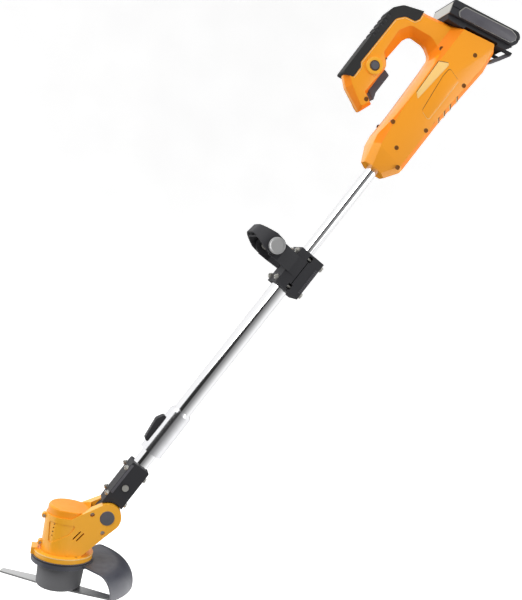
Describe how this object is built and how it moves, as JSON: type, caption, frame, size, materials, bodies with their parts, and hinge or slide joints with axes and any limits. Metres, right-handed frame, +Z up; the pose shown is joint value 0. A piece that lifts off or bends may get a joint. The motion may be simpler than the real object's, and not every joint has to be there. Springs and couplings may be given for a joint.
{
  "type": "lawn edger",
  "caption": "Cordless lawn edger with a telescoping pole, tilting cutter head with blade and guard, swinging front handle, trigger grip and slide-on battery.",
  "frame": {"origin": "middle of the rear grip, where the hand holds the tool, on the middle plane", "axes": "+Z up along the cutter spindle, +X from the cutter head towards the user, +Y across the tool"},
  "size_m": [0.6633, 0.165, 0.9916],
  "materials": {
    "orange_plastic": "moulded, satin gloss",
    "yellow_plastic": "moulded, satin gloss",
    "black_plastic": "fine moulded grain",
    "black_rubber": "soft matte skin",
    "grey_plastic": "moulded grey",
    "chrome_tube": "polished",
    "blade_steel": "ground",
    "zinc_steel": "zinc plated",
    "satin_metal": "turned, satin",
    "magnet": "sintered",
    "copper": "enamelled windings",
    "board": "solder mask",
    "cell_wrap": "shrink wrap"
  },
  "bodies": {
    "rear_body": {"rear_housing_left": "orange_plastic", "rear_housing_right": "orange_plastic", "grip_skin": "black_rubber", "rear_housing_screws": "zinc_steel", "lock_off_bezel": "orange_plastic", "power_switch": "black_plastic", "control_board": "board", "trigger_spring": "zinc_steel", "battery_foot": "black_plastic", "terminal_block": "grey_plastic", "release_hinge": "zinc_steel", "upper_tube": "chrome_tube", "reducer_bush": "black_plastic", "outer_tube": "chrome_tube", "guide_bush": "chrome_tube", "lock_sleeve": "chrome_tube", "handle_yoke": "black_plastic", "handle_clamp_cap": "black_plastic", "handle_clamp_bolts": "zinc_steel", "handle_clamp_nuts": "zinc_steel", "swing_knobs": "satin_metal", "swing_nuts": "zinc_steel"},
    "lower_pole": {"inner_tube": "chrome_tube", "hinge_tongue": "black_plastic", "clamp_block": "black_plastic", "clamp_block_cover": "black_plastic", "clamp_block_bolts": "zinc_steel", "clamp_block_nuts": "zinc_steel", "pole_cross_bolt": "zinc_steel"},
    "head": {"head_housing_left": "yellow_plastic", "head_housing_right": "yellow_plastic", "head_top_cap": "yellow_plastic", "head_screws": "zinc_steel", "tilt_pivot_pin": "zinc_steel", "tilt_pivot_cap": "black_plastic", "guard_flange": "yellow_plastic", "blade_guard": "grey_plastic", "guard_screws": "zinc_steel", "motor_can": "zinc_steel", "motor_magnets": "magnet", "upper_bearing": "zinc_steel", "lower_bearing": "zinc_steel"},
    "rotor": {"drive_spindle": "zinc_steel", "motor_armature": "copper", "blade_hub_cup": "black_plastic", "cutting_blade": "blade_steel", "blade_washer": "zinc_steel", "blade_nut": "zinc_steel"},
    "tilt_button": {"tilt_button": "black_plastic", "tilt_button_spring": "zinc_steel"},
    "lock_slider": {"lock_slider": "black_plastic"},
    "trigger": {"trigger": "black_plastic"},
    "lock_off": {"lock_off_button": "black_plastic"},
    "battery": {"battery_lower_case": "black_plastic", "battery_upper_case": "black_plastic", "battery_cells": "cell_wrap"},
    "battery_release": {"battery_release": "black_plastic"},
    "handle_loop": {"front_handle_loop": "black_plastic"}
  },
  "joints": [
    {"name": "telescope", "type": "slide", "parent": "rear_body", "child": "lower_pole", "axis": [-0.4924, 0, -0.8704], "range_m": [0, 0.2]},
    {"name": "head_tilt", "type": "hinge", "parent": "lower_pole", "child": "head", "pos_m": [-0.30166, 0, -0.78296], "axis": [0, 1, 0], "range_deg": [-60, 25]},
    {"name": "blade_spin", "type": "hinge", "parent": "head", "child": "rotor", "pos_m": [-0.35666, 0, -0.90046], "axis": [0, 0, 1], "continuous": true},
    {"name": "tilt_button_press", "type": "slide", "parent": "head", "child": "tilt_button", "axis": [0, 1, 0], "range_m": [0, 0.002], "stiffness_N_per_m": 400, "springref_m": -0.003},
    {"name": "pole_lock_slide", "type": "slide", "parent": "rear_body", "child": "lock_slider", "axis": [0.4924, 0, 0.8704], "range_m": [0, 0.008], "stiffness_N_per_m": 200, "springref_m": -0.008},
    {"name": "trigger_pull", "type": "slide", "parent": "rear_body", "child": "trigger", "axis": [-0.8704, 0, 0.4924], "range_m": [0, 0.005], "stiffness_N_per_m": 400, "springref_m": -0.005},
    {"name": "lock_off_press", "type": "slide", "parent": "rear_body", "child": "lock_off", "axis": [0, 1, 0], "range_m": [0, 0.002], "stiffness_N_per_m": 400, "springref_m": -0.003},
    {"name": "battery_slide", "type": "slide", "parent": "rear_body", "child": "battery", "axis": [0.9763, 0, -0.2164], "range_m": [0, 0.09]},
    {"name": "battery_release_tilt", "type": "hinge", "parent": "rear_body", "child": "battery_release", "pos_m": [0.21413, 0, 0.02631], "axis": [0, 1, 0], "range_deg": [0, 4], "stiffness_Nm_per_rad": 0.3, "springref_deg": -8.59},
    {"name": "handle_swing", "type": "hinge", "parent": "rear_body", "child": "handle_loop", "pos_m": [-0.11911, 0, -0.34049], "axis": [0, 1, 0], "range_deg": [-30, 30]}
  ]
}
